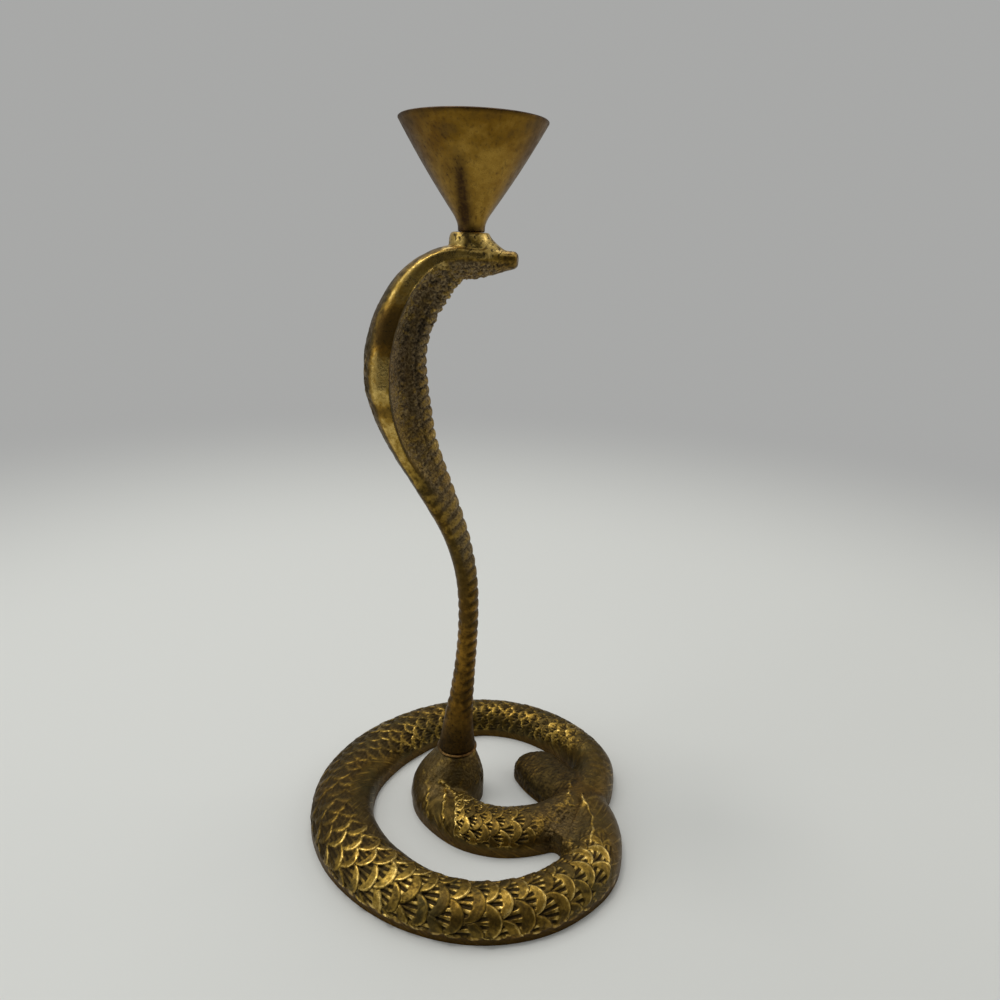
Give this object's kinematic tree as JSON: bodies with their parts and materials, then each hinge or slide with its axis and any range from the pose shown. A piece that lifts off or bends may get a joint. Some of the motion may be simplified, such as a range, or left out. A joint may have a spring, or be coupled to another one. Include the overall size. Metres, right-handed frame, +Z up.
{
  "type": "cobra candle holder",
  "caption": "Brass candle holder: a snake coiled flat as the base rears up with spread hood and bears a conical candle cup on its head.",
  "frame": {"origin": "the middle of the footprint, on the table", "axes": "+Z up; the head looks along +X, turned 6 degrees towards -Y; the picture is taken from the -Y side"},
  "size_m": [0.1234, 0.128, 0.2534],
  "materials": {
    "cast_brass_base": "cast brass, dark brown patina in the hollows, scale edges polished bright",
    "cast_brass_neck": "cast brass, dull grey brown belly, polished hood edge and head",
    "turned_brass": "turned brass, semi polished, blotchy",
    "copper_brass": "reddish brass, worn",
    "washer_brass": "plain brass",
    "screw_steel": "plain steel"
  },
  "bodies": {
    "base": {"coiled_base": "cast_brass_base", "neck_screw": "screw_steel", "screw_washer": "washer_brass"},
    "neck_rise": {"seam_ring": "copper_brass"},
    "neck": {"cobra_neck": "cast_brass_neck"},
    "cup_rise": {"cup_stud": "screw_steel"},
    "cup": {"candle_cup": "turned_brass"}
  },
  "joints": [
    {"name": "neck_lift", "type": "slide", "parent": "base", "child": "neck_rise", "axis": [0, 0, 1], "range_m": [0, 0.00652]},
    {"name": "neck_turn", "type": "hinge", "parent": "neck_rise", "child": "neck", "pos_m": [-0.00524, 0.01054, 0.0227], "axis": [0, 0, 1], "range_deg": [0, 2340]},
    {"name": "cup_lift", "type": "slide", "parent": "neck", "child": "cup_rise", "axis": [0, 0, 1], "range_m": [0, 0.00457]},
    {"name": "cup_turn", "type": "hinge", "parent": "cup_rise", "child": "cup", "pos_m": [-0.00414, 0.01042, 0.2203], "axis": [0, 0, 1], "range_deg": [0, 2340]}
  ],
  "couplings": [
    {"joint": "neck_lift", "follows": "neck_turn", "m_per_rad": 0.00015915},
    {"joint": "cup_lift", "follows": "cup_turn", "m_per_rad": 0.00011141}
  ]
}
